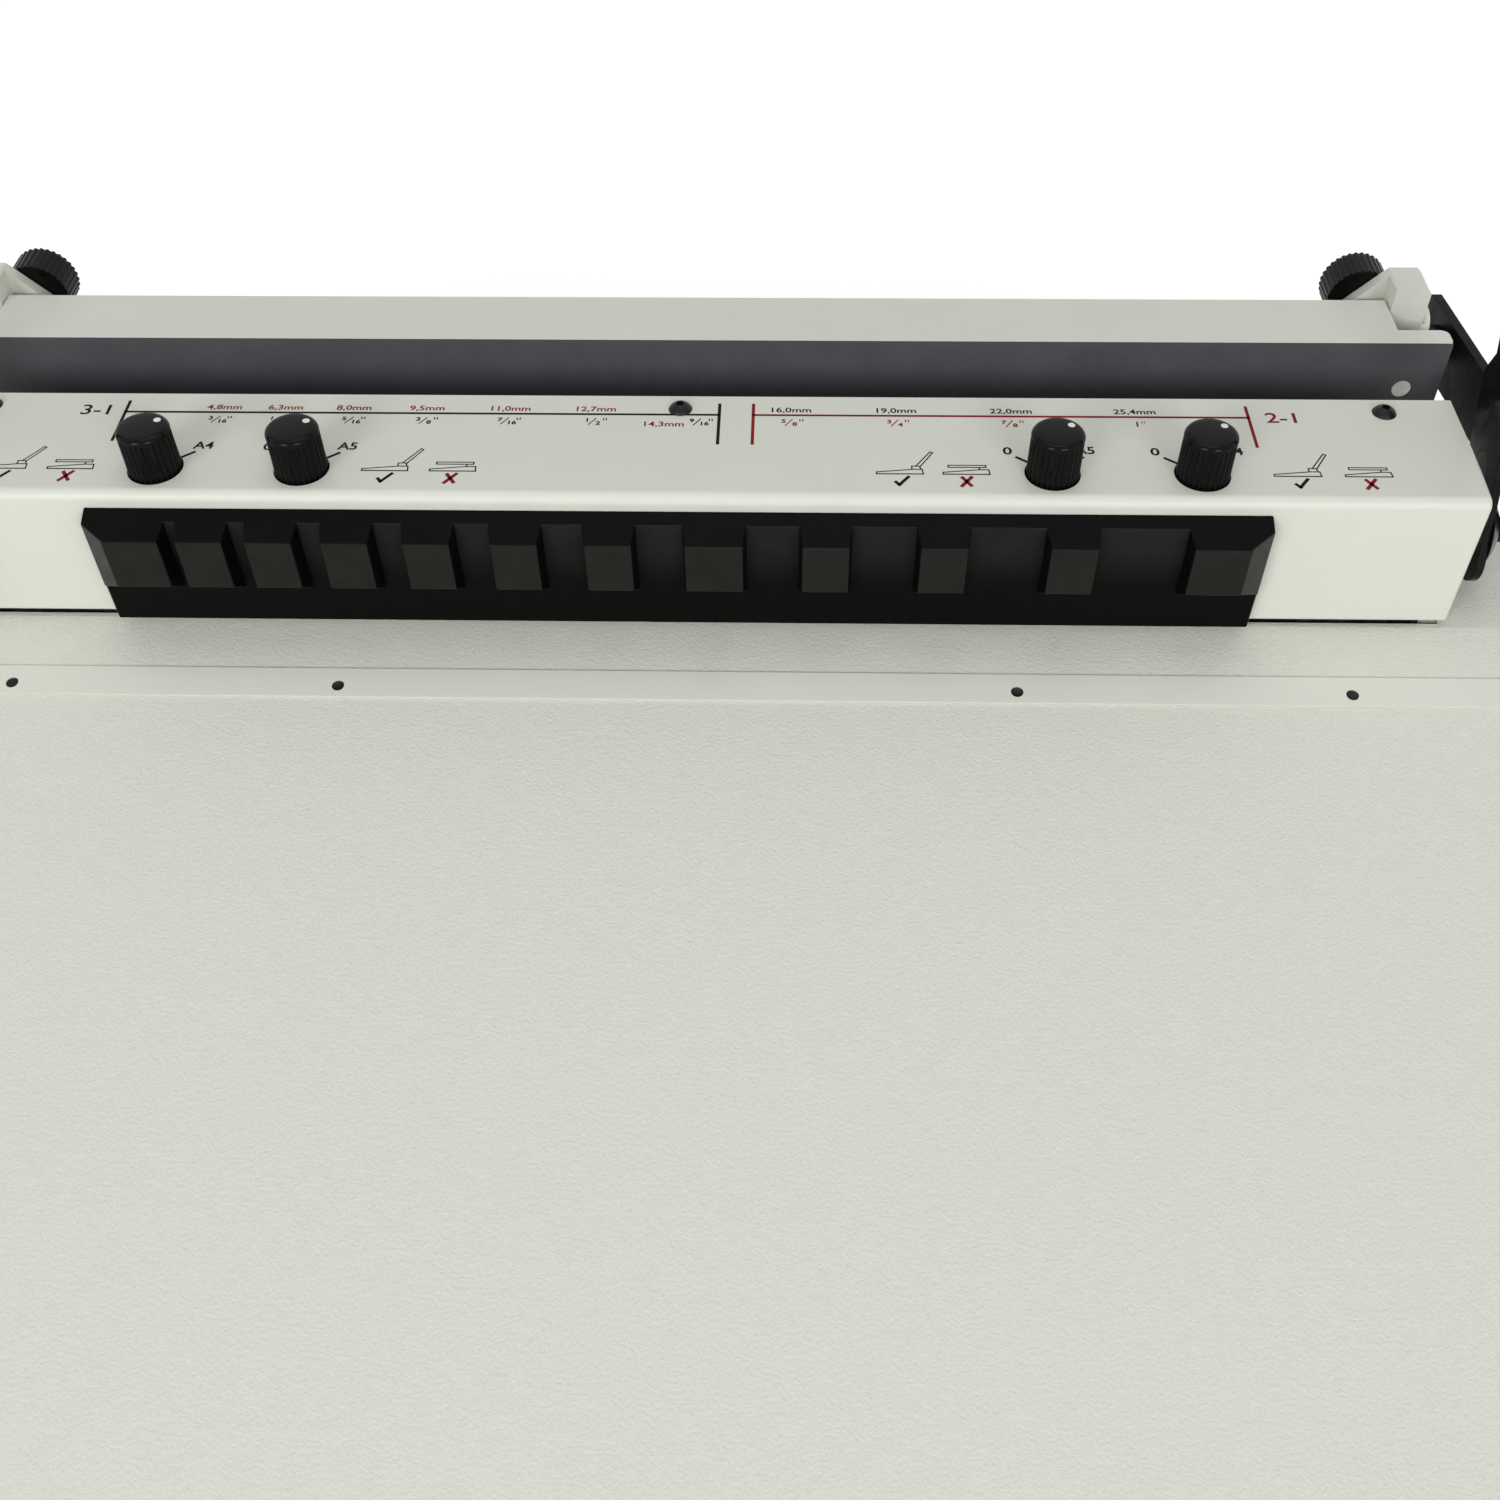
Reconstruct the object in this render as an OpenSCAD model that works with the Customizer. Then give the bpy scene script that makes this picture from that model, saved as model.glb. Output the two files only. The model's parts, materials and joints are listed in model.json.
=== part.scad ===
// Wire binding punch: hand lever, punching unit, selector knobs and wire closer on a sloped base.
// Millimetres. X to the right, Y to the rear, Z up; the floor is Z = 0 under the rubber feet.
// The modules work from the housing: Y = 0 on its front face, Z = 0 on its lower front edge.

/* [Base] */
// width of the base
base_w = 500; // [440:1:560]
// length of the sloped table in front of the housing
table_len = 290; // [200:1:330]
// rear edge of the base behind the housing's front face
deck_end = 50; // [48:0.5:56]
// slope of the table in degrees
slope = 10.53; // [6:0.01:14]
// sheet thickness of the base
base_t = 2; // [1.5:0.1:3]
// height of the front face of the base
front_h = 14; // [8:0.5:24]
// rounding of the upright corners of the base
corner_r = 8; // [4:0.5:12]
// how far the bottom plate reaches behind the base
foot_reach = 68; // [50:1:90]
// height of the rubber feet
foot_h = 6; // [4:0.5:10]
// radius of the rubber feet
foot_r = 11; // [8:0.5:14]
// width of the rail strip on the table
rail_w = 9.4; // [8:0.1:12]
// thickness of the rail strip
rail_t = 0.6; // [0.4:0.1:1]
// distance of the rail strip's rear edge from the housing
rail_v = 18; // [15:0.5:24]

/* [Housing] */
// width of the cover
cover_w = 435.4; // [420:0.2:440]
// depth of the cover
cover_d = 45.7; // [44:0.1:48]
// height of the cover
cover_h = 43; // [42:0.1:46]
// sheet thickness of the cover
cover_t = 1.5; // [1:0.1:2]
// rounding of the top front bend
bend_r = 3; // [2:0.1:5]
// gap between the cover's lower edge and the deck
throat = 2; // [1.5:0.1:3]
// thickness of the end frames
frame_t = 5; // [4:0.1:5.2]
// distance of the outer cover screws from the ends of the cover
screw_in = 20; // [18:0.1:36]
// distance of the cover screws from the front face
screw_y = 39.6; // [39:0.1:41]
// radius of the cover screws
screw_r = 2; // [1.5:0.1:2.2]
// length of the cover screws under the head
screw_len = 12; // [8:0.1:14]
// head radius of the cover screws
screw_head_r = 3.4; // [2.8:0.1:4]
// head height of the cover screws
screw_head_h = 2.1; // [1.5:0.1:2.5]

/* [Gauge] */
// wire sizes of the gauge slots
wires = [4.8, 6.3, 8, 9.5, 11, 12.7, 14.3, 16, 19, 22, 25.4];
// width of the blocks between slots
block_w = 12.6; // [10:0.1:14]
// width of the block between the two halves
mid_block_w = 15.6; // [12:0.1:20]
// width of the end blocks
end_block_w = 21.5; // [18:0.1:26]
// how far the blocks stand off the cover
block_d = 10; // [8:0.1:14]
// how far the back of a slot stands off the cover
skirt_d = 4; // [3:0.1:5]
// height of the gauge's rear edge
gauge_h = 38.4; // [34:0.1:40]
// height of the front edge of the blocks
block_top = 34.5; // [30:0.1:36]
// lower edge of the blocks
block_bottom = 18.5; // [14:0.1:22]

/* [Punch] */
// number of punch pins
pin_count = 48; // [44:2:48]
// hole spacing, three to the inch
pitch = 8.4667; // [8.4:0.0001:8.5]
// radius of the punch pins
pin_r = 2; // [1.8:0.05:2.2]
// distance of the pin row along the paper from the housing's front
pin_v = 11; // [10.5:0.1:11.5]
// distance from hole centre to paper edge
edge_margin = 3.6; // [3.2:0.1:4]
// punching stroke
stroke = 8.5; // [8:0.1:8.7]
// height of the paper gap
paper_gap = 2.5; // [2:0.1:3]
// thickness of the die plate
die_t = 8; // [7:0.1:9]
// thickness of the die bed
bed_t = 8; // [7:0.1:9]
// thickness of the stripper plate
strip_t = 6; // [5:0.1:6.2]
// thickness of the pin holder
holder_t = 4; // [3.5:0.1:4.5]
// thickness of the pressure plate
press_t = 6; // [5.5:0.1:6]
// wire radius of the return springs
spring_wire = 0.4; // [0.3:0.05:0.5]
// mean coil radius of the return springs
spring_r = 2.3; // [2:0.1:2.4]

/* [Lever] */
// pivot behind the housing's front face
pivot_y = 21; // [20.5:0.1:21.5]
// pivot above the housing's lower edge
pivot_z = 17.5; // [17:0.1:18]
// angle of the lever above level, leaning back at rest
lean = 69.2; // [66:0.1:75]
// turn of the lever in degrees
lever_turn = 105; // [95:0.5:108]
// length of the arms from pivot to cross tube
arm_len = 294; // [240:1:320]
// gap between the ends of the cover and the arms
arm_gap = 6.3; // [5:0.1:7]
// thickness of the arms
arm_t = 2.4; // [2:0.1:3.2]
// half width of the lower part of the arms
arm_half = 10.5; // [10:0.1:12]
// how far the arms reach below the pivot
arm_low = 14.5; // [12:0.1:16]
// rounding of the lower corners of the arms
arm_round = 7; // [3:0.1:9]
// step of the rear edge of the arms
arm_step = 5.6; // [2:0.1:7]
// distance of that step from the pivot
step_at = 42.5; // [36:0.1:60]
// radius of the domed caps on the pivot
dome_r = 12; // [8:0.1:12.2]
// height of the domed caps
dome_t = 5; // [3:0.1:6]
// radius of the drive shaft
shaft_r = 6; // [5.5:0.1:6]
// distance of the drive pins from the pivot
crank = 18; // [17:0.1:19]
// radius of the drive pins
drive_r = 4; // [3.5:0.1:4]
// radius of the cross tube
tube_r = 10; // [9:0.5:11]
// wall of the cross tube
tube_t = 2; // [1.5:0.1:3]
// radius of the grip
grip_r = 14; // [12:0.5:15]
// length of the grip
grip_len = 320; // [200:1:380]

/* [Closer] */
// travel of the closing bar with the lever
close_travel = 23.95; // [20:0.05:24.5]
// rear face of the fixed anvil
anvil_y = 46.2; // [45.9:0.1:46.8]
// front face of the closing bar with the lever up
jaw_y = 74; // [73.5:0.1:75]
// thickness of the jaw plate
jaw_t = 1.3; // [1:0.1:2]
// depth of the long front part of the bar
ledge_d = 6.9; // [6:0.1:8]
// how far the front part of the bar reaches past the ends of the cover
ledge_over = 8.6; // [7.5:0.1:10]
// rounding of the rear corners of the front part
ledge_r = 2.5; // [1:0.1:3]
// rear face of the bar
bar_rear = 97; // [95:0.1:97.2]
// distance of the deep part of the bar from the ends of the cover
bar_in = 6.2; // [6:0.1:6.8]
// lower face of the bar
bar_z = 19.3; // [19.3:0.1:20]
// adjusting travel of the bar each way
adjust = 3; // [1:0.1:3]
// pitch of the adjusting screws
screw_pitch = 1.5; // [1:0.1:2]
// rear face of the brackets
bracket_rear = 104; // [103.8:0.1:105]
// top of the brackets
bracket_top = 50; // [48:0.1:51]
// how far the brackets reach past the ends of the cover
bracket_over = 4.9; // [4.3:0.1:5.2]
// thickness of the seats for the links on the brackets
seat_t = 3.2; // [2:0.1:4]
// rounding of those seats
seat_r = 5.5; // [5:0.1:6]
// radius of the guide rods
rod_r = 4; // [3.5:0.1:4]
// radius of the bar's dowels
dowel_r = 2.75; // [2.5:0.05:2.8]
// distance of the dowels from the ends of the cover
dowel_in = 2.5; // [1.7:0.1:2.7]
// height of the dowels
dowel_z = 27.1; // [26:0.1:28]
// radius of the thumbwheels
wheel_r = 9.8; // [9:0.1:11]
// thickness of the thumbwheels
wheel_t = 10.6; // [8:0.1:12]
// number of grooves on a thumbwheel
wheel_grooves = 32; // [24:1:36]
// distance of the thumbwheels from the ends of the cover
wheel_in = 11.4; // [10.9:0.1:11.9]
// height of the bar's top above the thumbwheels' axis
wheel_drop = 4.2; // [4:0.1:5.2]
// radius of the adjusting screws
adj_r = 2.5; // [2:0.1:2.5]
// thickness of the link plates
link_t = 3; // [2.5:0.1:3.5]
// width of the link plates
link_w = 20; // [18:0.1:21]
// slope of the link plates in degrees
link_tilt = 6.5; // [5:0.1:8]
// how far the link plates reach behind their bolts
link_end = 14; // [12:0.1:16]
// wall of the link plates around the slot
slot_wall = 5.5; // [4:0.1:6]

/* [Knobs] */
// outer knobs from the centre
knob_far = 142.5; // [141.5:0.1:143]
// inner knobs from the centre
knob_near = 102.2; // [101.5:0.1:102.6]
// knobs behind the front face
knob_y = 11.4; // [11:0.1:11.6]
// radius of the knobs
knob_r = 7.25; // [6.8:0.05:7.3]
// height of the knobs above the cover
knob_h = 14; // [10:0.1:16]
// radius of the holes in the cover
knob_hole_r = 7.6; // [7.5:0.05:8]
// number of flutes on a knob
flutes = 28; // [18:1:30]
// depth of the flutes
flute_d = 0.4; // [0.2:0.05:0.5]
// height of the cap above the flutes
knob_cap = 3.6; // [3:0.1:5]
// rounding of the cap's edge
knob_edge = 1.6; // [1:0.1:2]
// crown of the cap
knob_crown = 0.5; // [0.2:0.05:0.8]
// turn of the knobs in degrees
knob_turn = 105; // [100:0.5:110]
// crank radius under the knobs
knob_crank = 2.6; // [2.5:0.05:2.7]

/* [Tray and stop] */
// half width of the chip tray
tray_x = 204; // [200:0.5:205]
// depth of the chip tray
tray_d = 68; // [60:0.5:75]
// top of the chip tray below the deck
tray_top = 24; // [22:0.5:30]
// wall of the chip tray
tray_t = 1.5; // [1:0.1:2.5]
// height of the side stop
stop_h = 8; // [6:0.5:10]
// width of the side stop
stop_w = 12; // [8:0.5:16]
// resting place of the side stop's working face, left of the centre
stop_x = 208; // [204:0.5:220]

/* [Fits] */
// radial clearance of running fits
run = 0.04; // [0.02:0.01:0.08]
// radial clearance of fixed fits
fixed = 0.02; // [0.01:0.01:0.04]
// clearance of sliding faces
slide = 0.3; // [0.2:0.05:0.4]
// clearance between fitted inner parts
gap = 0.1; // [0.05:0.05:0.2]

/* [Hidden] */
$fn = 48;

// colours
cream = [0.84, 0.85, 0.80];
black = [0.05, 0.05, 0.055];
steel = [0.62, 0.63, 0.64];
dark = [0.22, 0.23, 0.24];
bronze = [0.70, 0.50, 0.25];

// base
front_z = -throat - table_len * tan(slope);
base_z = front_z - front_h;
skin = base_t / cos(slope);
deck_open_y = 34;
deck_open_x = cover_w / 2 - cover_t;
plate_t = 2;
floor_z = base_z - foot_h;

// housing
cover_x = cover_w / 2;
frame_x1 = cover_x - cover_t - 0.7;
frame_x = frame_x1 - frame_t;
span_x = frame_x - gap;
frame_top = cover_h - cover_t - gap;
frame_bottom = -20;
boss_r = 5;
boss_h = 2;
anvil_d = 10.2;
shelf_t = 3;
shelf_in = 12.2;
shelf_x = frame_x - shelf_in;
screw_x = cover_x - screw_in;
screw_hole_r = screw_r + 0.2;
rail_hole_near = 95;
rail_hole_far = base_w / 2 - 62.5;
rail_hole_r = 1.75;

// gauge: running sum of slots and blocks from the left end
n_wires = len(wires);
mid_slot = 7;
function block_before(i) = i == 0 ? end_block_w : i == mid_slot ? mid_block_w : block_w;
function slot_x(i) = i == 0 ? -gauge_w / 2 + end_block_w
    : slot_x(i - 1) + wires[i - 1] + block_before(i);
function total(v, i = 0) = i == len(v) ? 0 : v[i] + total(v, i + 1);
gauge_w = total(wires) + 2 * end_block_w + mid_block_w + (n_wires - 2) * block_w;

// punch, in the tilted frame: v along the paper to the rear, n up from the paper
stop_v = pin_v + edge_margin;
cam_bay = 7.7;
plate_x = frame_x - cam_bay;
plate_v0 = 3;
plate_v1 = 17;
strip_top = paper_gap + strip_t;
holder_n = strip_top + stroke + 0.5;
press_n = holder_n + holder_t;
press_top = press_n + press_t;
press_v0 = 7.2;
press_v1 = 17.2;
tip_n = paper_gap + 1;
head_r = pin_r + 0.8;
head_t = 1.5;
// pins that fit between the ends of the plates
pins = min(pin_count, 2 * floor((plate_x - head_r - 0.6) / pitch + 0.5));
key_t = 1.8;
key_v0 = 8.2;
key_v1 = 16.4;
web_x = plate_x + 4 * gap;
web_t = 2.5;
foot_x = span_x - gap;
foot_n = 3;
shaft_v = pivot_y * cos(slope) + (pivot_z + throat) * sin(slope);
shaft_n = (pivot_z + throat) * cos(slope) - pivot_y * sin(slope);
turn_rad = lever_turn * PI / 180;
cam_base = stroke / turn_rad;
cam_start = 7.5;
cam_x = web_x + web_t + slide;
cam_t = 4;
follow_n = shaft_n - cam_start - gap;
hub_r = cam_start - 0.2;
foot_v0 = stop_v + 0.4;
foot_v1 = shaft_v - 0.2;
spring_in = 3.5;
spring_x = web_x + spring_in;
spring_v = 20;
spring_n0 = -die_t - bed_t + 1;
spring_turns = 9;
edge_pin_far = 17.5 * pitch;
edge_pin_near = 12.5 * pitch;

// lever
arm_x = cover_x + arm_gap;
tube_w = arm_step / 2;
eye_r = tube_r + 1;
tube_y = pivot_y + arm_len * cos(lean) - tube_w * sin(lean);
tube_z = pivot_z + arm_len * sin(lean) + tube_w * cos(lean);
bolt_r = 3;
stud_r = 4;
shoulder_r = drive_r + 1.5;
bush_r = shaft_r + 3;

// closer
close_rate = close_travel / turn_rad;
ledge_x = cover_x + ledge_over;
bar_x = cover_x - bar_in;
bracket_x = cover_x + bracket_over;
dowel_x = cover_x - dowel_in;
wheel_x = cover_x - wheel_in;
wheel_z = cover_h - wheel_drop;
link_x = arm_x + arm_t + dome_t + slide;
lug_front = bar_rear + adjust + 0.4;
notch_front = 91.5;
notch_x = bar_x + 0.5;
bracket_in = shelf_x + 0.7;
bracket_low = 6;
bracket_foot = bar_z - 0.6;
bracket_foot_y = 84;
rod_in = 4.5;
rod_x = frame_x - rod_in;
rod_z = 13;
rod_end = 112;
cut_x = bar_x + 1;
boss_y = 98;
link_mid_z = 27.4;
link_round = 1.5;
link_front = 3;
link_bolt_r = 3.5;
link_seat = 4;
seat_z = 34.2;
slot_gap = 0.15;

// knobs
rail_z = 36;
rail_top = 38.5;
rail_half = 7;
knob_low = rail_top + slide;
knob_top = cover_h + knob_h;
spindle_r = 3;
spindle_in = 12;
knob_groove = 0.4;
groove_in = flute_d + 0.2;
spindle_low = 29;
crank_r = 1.2;
crank_low = 26.4;
key_rest = 180 + (90 - knob_turn / 2);

// overall shift of the housing in the shared frame
rear_reach = max(tube_y + grip_r, bracket_rear + 0.4 + wheel_t, deck_end + foot_reach);
house_y = (table_len - rear_reach) / 2;
house_z = -floor_z;

module place() translate([0, house_y, house_z]) children();
module tilt() translate([0, 0, -throat]) rotate([slope, 0, 0]) children();
module flip() mirror([1, 0, 0]) children();
module both() { children(); flip() children(); }
module along_x(x0, x1) translate([x0, 0, 0]) rotate([90, 0, 90]) linear_extrude(x1 - x0) children();
module rod_x(x0, x1, y, z, r) translate([x0, y, z]) rotate([0, 90, 0]) cylinder(h = x1 - x0, r = r);
module rod_y(y0, y1, x, z, r) translate([x, y0, z]) rotate([-90, 0, 0]) cylinder(h = y1 - y0, r = r);
module box(x0, x1, y0, y1, z0, z1) translate([x0, y0, z0]) cube([x1 - x0, y1 - y0, z1 - z0]);
module round_rect(x0, x1, y0, y1, r) {
    translate([x0 + r, y0]) square([x1 - x0 - 2 * r, y1 - y0]);
    translate([x0, y0 + r]) square([x1 - x0, y1 - y0 - 2 * r]);
    for (x = [x0 + r, x1 - r], y = [y0 + r, y1 - r]) translate([x, y]) circle(r);
}
module pin_row() for (i = [0 : pins - 1])
    translate([(i - (pins - 1) / 2) * pitch, pin_v, 0]) children();
module at_knobs() for (x = [-knob_far, -knob_near, knob_near, knob_far])
    translate([x, knob_y, 0]) children();

// base

module wedge(t) polygon([[-table_len + t, base_z - (t > 0 ? 1 : 0)],
    [-table_len + t, front_z + t * tan(slope) - t / cos(slope)],
    [0, -throat - t / cos(slope)], [deck_end - t, -throat - t / cos(slope)],
    [deck_end - t, base_z - (t > 0 ? 1 : 0)]]);

module wedge_body(t) intersection() {
    along_x(-base_w / 2 + t, base_w / 2 - t) wedge(t);
    translate([0, 0, base_z - 2]) linear_extrude(-base_z + 2)
        round_rect(-base_w / 2 + t, base_w / 2 - t, -table_len + t, deck_end - t, corner_r - t);
}

module base_shell() color(cream) place() difference() {
    wedge_body(0);
    wedge_body(base_t);
    box(-deck_open_x, deck_open_x, cover_t, deck_open_y, -throat - 2 * skin, 1);
    box(-tray_x - 2, tray_x + 2, deck_end - 2 * base_t, deck_end + 1, base_z - 1, -throat - tray_top + 2);
}

module bottom_plate() color(dark) place() translate([0, 0, base_z]) linear_extrude(plate_t) {
    round_rect(-base_w / 2 + base_t + slide, base_w / 2 - base_t - slide, -table_len + base_t + slide,
        deck_end - base_t - slide, corner_r - base_t);
    round_rect(-tray_x - 1.5, tray_x + 1.5, 0, deck_end + foot_reach, corner_r);
}

module rubber_feet() color(black) place()
    for (p = [[base_w / 2 - 25, -table_len + 25], [tray_x - 14, deck_end + foot_reach - 18]])
        both() translate([p[0], p[1], floor_z]) cylinder(h = foot_h, r = foot_r);

module table_rail() color(cream) place() tilt() difference() {
    box(-base_w / 2 + 10, base_w / 2 - 10, -rail_v - rail_w, -rail_v, 0, rail_t);
    both() for (x = [rail_hole_near, rail_hole_far]) translate([x, -rail_v - rail_w * 0.62, -1])
        cylinder(h = rail_t + 2, r = rail_hole_r);
}

// housing

module bent(y0, y1, z1, r) {
    translate([y0 + r, -1]) square([y1 - y0 - r, z1 + 1]);
    translate([y0, -1]) square([r, z1 - r + 1]);
    translate([y0 + r, z1 - r]) circle(r);
}

module housing_cover() color(cream) place() difference() {
    union() {
        difference() {
            along_x(-cover_x, cover_x) bent(0, cover_d, cover_h, bend_r);
            along_x(-cover_x + cover_t, cover_x - cover_t)
                bent(cover_t, cover_d + 1, cover_h - cover_t, bend_r - cover_t);
        }
        for (x = [-screw_x, 0, screw_x]) translate([x, screw_y, cover_h - cover_t - boss_h])
            cylinder(h = boss_h + cover_t / 2, r = boss_r);
    }
    box(-cover_x - 1, cover_x + 1, -1, cover_d + 1, -3, 0);
    at_knobs() translate([0, 0, cover_h - 2 * cover_t]) cylinder(h = 4 * cover_t, r = knob_hole_r);
    for (x = [-screw_x, 0, screw_x]) translate([x, screw_y, cover_h - cover_t - boss_h - 1])
        cylinder(h = cover_t + boss_h + 2, r = screw_hole_r);
    both() {
        rod_x(cover_x - 2 * cover_t, cover_x + 1, pivot_y, pivot_z, shaft_r + 1);
        box(cover_x - 2 * cover_t, cover_x + 1, pivot_y - shaft_r - 1, pivot_y + shaft_r + 1, -4, pivot_z);
    }
}

// flat-based dome
module cap(r, h) rotate_extrude() intersection() {
    translate([0, h - (r * r + h * h) / (2 * h)]) circle((r * r + h * h) / (2 * h), $fn = 96);
    square([r, h]);
}

module cover_screws() color(black) place()
    for (x = [-screw_x, 0, screw_x]) translate([x, screw_y, 0]) difference() {
        union() {
            translate([0, 0, cover_h]) cap(screw_head_r, screw_head_h);
            translate([0, 0, cover_h - screw_len]) cylinder(h = screw_len + screw_head_h / 4, r = screw_r);
        }
        translate([0, 0, cover_h + screw_head_h / 2]) cylinder(h = 2, r = screw_r * 0.6, $fn = 6);
    }

module end_frame() color(steel) place() difference() {
    along_x(frame_x, frame_x1) polygon([[2, frame_bottom], [deck_open_y - slide, frame_bottom],
        [deck_open_y - slide, -throat], [cover_d - 0.7, -throat], [cover_d - 0.7, frame_top],
        [5, frame_top], [2, frame_top - 3]]);
    rod_x(frame_x - 1, frame_x1 + 1, pivot_y, pivot_z, bush_r);
}
module end_frame_right() end_frame();
module end_frame_left() flip() end_frame();

module shaft_bushes() color(bronze) place() both() difference() {
    rod_x(frame_x, frame_x1, pivot_y, pivot_z, bush_r - fixed);
    rod_x(frame_x - 1, frame_x1 + 1, pivot_y, pivot_z, shaft_r + run);
}

module wire_gauge() color(black) place() difference() {
    along_x(-gauge_w / 2, gauge_w / 2) polygon([[0, 1], [0, gauge_h], [-block_d, block_top],
        [-block_d, block_bottom], [-skirt_d, block_bottom], [-skirt_d, 1]]);
    for (i = [0 : n_wires - 1])
        box(slot_x(i), slot_x(i) + wires[i], -block_d - 1, -skirt_d, block_bottom - 1, gauge_h + 1);
    both() translate([0, 0, -1]) linear_extrude(gauge_h + 2) polygon([[gauge_w / 2 + 1, -block_d / 2 + 0.8],
        [gauge_w / 2 + 1, -block_d - 1], [gauge_w / 2 - 7.8, -block_d - 1]]);
}

// fixed punching parts

module die_plate() color(steel) place() tilt() difference() {
    box(-plate_x, plate_x, plate_v0, plate_v1, -die_t, 0);
    pin_row() translate([0, 0, -die_t / 2 - 1]) cylinder(h = die_t, r = pin_r + run, $fn = 24);
    pin_row() translate([0, 0, -die_t - 1]) cylinder(h = die_t / 2 + 1, r = pin_r + 0.6, $fn = 24);
}

module die_bed() color(steel) place() tilt() difference() {
    union() {
        box(-span_x, span_x, plate_v0, plate_v1, -die_t - bed_t, -die_t);
        both() box(web_x, span_x, plate_v0, spring_v + 5, -die_t - bed_t, -die_t);
    }
    box(-plate_x + 0.8, plate_x - 0.8, pin_v - 3.5, pin_v + 3.5, -die_t - bed_t - 1, -die_t + 1);
    both() translate([spring_x, spring_v, spring_n0]) cylinder(h = bed_t, r = spring_r + 3 * spring_wire);
}

module back_stop() color(dark) place() tilt() box(-plate_x, plate_x, stop_v, plate_v1, 0, paper_gap);

module stripper_plate() color(steel) place() tilt() difference() {
    box(-plate_x, plate_x, plate_v0 + 0.5, plate_v1, paper_gap, strip_top);
    pin_row() translate([0, 0, paper_gap - 1]) cylinder(h = strip_t + 2, r = pin_r + run, $fn = 24);
}

module rear_anvil() color(dark) place() difference() {
    union() {
        box(-span_x, span_x, anvil_y - anvil_d, anvil_y, bracket_low, frame_top);
        box(-shelf_x, shelf_x, anvil_y - anvil_d, bar_rear + 1, bar_z - slide - shelf_t, bar_z - slide);
    }
    for (x = [-screw_x, 0, screw_x]) translate([x, screw_y, 0]) {
        translate([0, 0, cover_h - screw_len - 1]) cylinder(h = screw_len + 2, r = screw_r + fixed);
        translate([0, 0, cover_h - cover_t - boss_h - gap]) cylinder(h = 5, r = boss_r + gap);
    }
    both() rod_y(anvil_y - anvil_d + 1, anvil_y + 1, rod_x, rod_z, rod_r + fixed);
}

module selector_rail() color(steel) place() difference() {
    box(-span_x, span_x, knob_y - rail_half, knob_y + rail_half, rail_z, rail_top);
    at_knobs() translate([0, 0, rail_z - 1])
        cylinder(h = rail_top - rail_z + 2, r = spindle_r + run, $fn = 32);
}

module guide_rods() color(steel) place() both()
    rod_y(anvil_y - anvil_d + 1, rod_end, rod_x, rod_z, rod_r);

// a coil with closed wire ends, swept along the spring's axis
module coil(r, w, h, turns) {
    steps = turns * 8;
    sides = 6;
    pts = [for (i = [0 : steps]) for (j = [0 : sides - 1])
        let (a = 360 * turns * i / steps, b = 360 * j / sides, q = r + w * cos(b))
        [q * cos(a), q * sin(a), w + (h - 2 * w) * i / steps + w * sin(b)]];
    rings = [for (i = [0 : steps - 1]) for (j = [0 : sides - 1])
        let (p = i * sides + j, q = i * sides + (j + 1) % sides)
        [p, p + sides, q + sides, q]];
    polyhedron(points = pts, faces = concat([[for (j = [0 : sides - 1]) j]], rings,
        [[for (j = [sides - 1 : -1 : 0]) steps * sides + j]]), convexity = 10);
}
module return_spring() color(steel) place() tilt() translate([spring_x, spring_v, spring_n0 + gap])
    coil(spring_r, spring_wire, foot_n - spring_n0 - 2 * gap, spring_turns);
module return_spring_right() return_spring();
module return_spring_left() flip() return_spring();

// lever with shaft and cams

module drive_shaft() color(steel) place() difference() {
    rod_x(-arm_x - arm_t, arm_x + arm_t, pivot_y, pivot_z, shaft_r);
    both() rod_x(arm_x - 12, arm_x + arm_t + 1, pivot_y, pivot_z, bolt_r + fixed);
}

// cam whose lift grows evenly with the turn: flank point for a turn of a degrees
function flank(a) = let (h = cam_start + cam_base * a * PI / 180)
    [-h * sin(a) - cam_base * cos(a), -h * cos(a) + cam_base * sin(a)];

module cam() color(steel) place() tilt() translate([0, shaft_v, shaft_n]) difference() {
    along_x(cam_x, cam_x + cam_t) polygon(concat([for (a = [-8 : 4 : lever_turn + 4]) flank(a)],
        [for (b = [126 : -8 : -106]) hub_r * [cos(b), sin(b)]]));
    rod_x(cam_x - 1, cam_x + cam_t + 1, 0, 0, shaft_r + fixed);
}
module cam_right() cam();
module cam_left() flip() cam();

module at_pivot() translate([0, pivot_y, pivot_z]) children();

module handle_arm() color(black) place() at_pivot() along_x(arm_x, arm_x + arm_t) rotate(lean) difference() {
    union() {
        round_rect(-arm_low, step_at, -arm_half, arm_half, arm_round);
        translate([0, -arm_half]) square([step_at, 2 * arm_half]);
        polygon([[step_at - 1, -arm_half], [step_at, -arm_half],
            [step_at + arm_step, -arm_half + arm_step], [step_at + arm_step, arm_half],
            [step_at - 1, arm_half]]);
        translate([step_at, -arm_half + arm_step]) square([arm_len - step_at, 2 * arm_half - arm_step]);
        translate([arm_len, tube_w]) circle(eye_r);
    }
    circle(shaft_r + fixed);
    translate([crank, 0]) circle(drive_r + fixed);
    translate([arm_len, tube_w]) circle(stud_r + fixed);
}
module handle_arm_right() handle_arm();
module handle_arm_left() flip() handle_arm();

module arm_spacers() color(steel) place() both() difference() {
    rod_x(frame_x1 + gap, arm_x, pivot_y, pivot_z, shaft_r + 0.8);
    rod_x(frame_x1 - 1, arm_x + 1, pivot_y, pivot_z, shaft_r + fixed);
}

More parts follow.
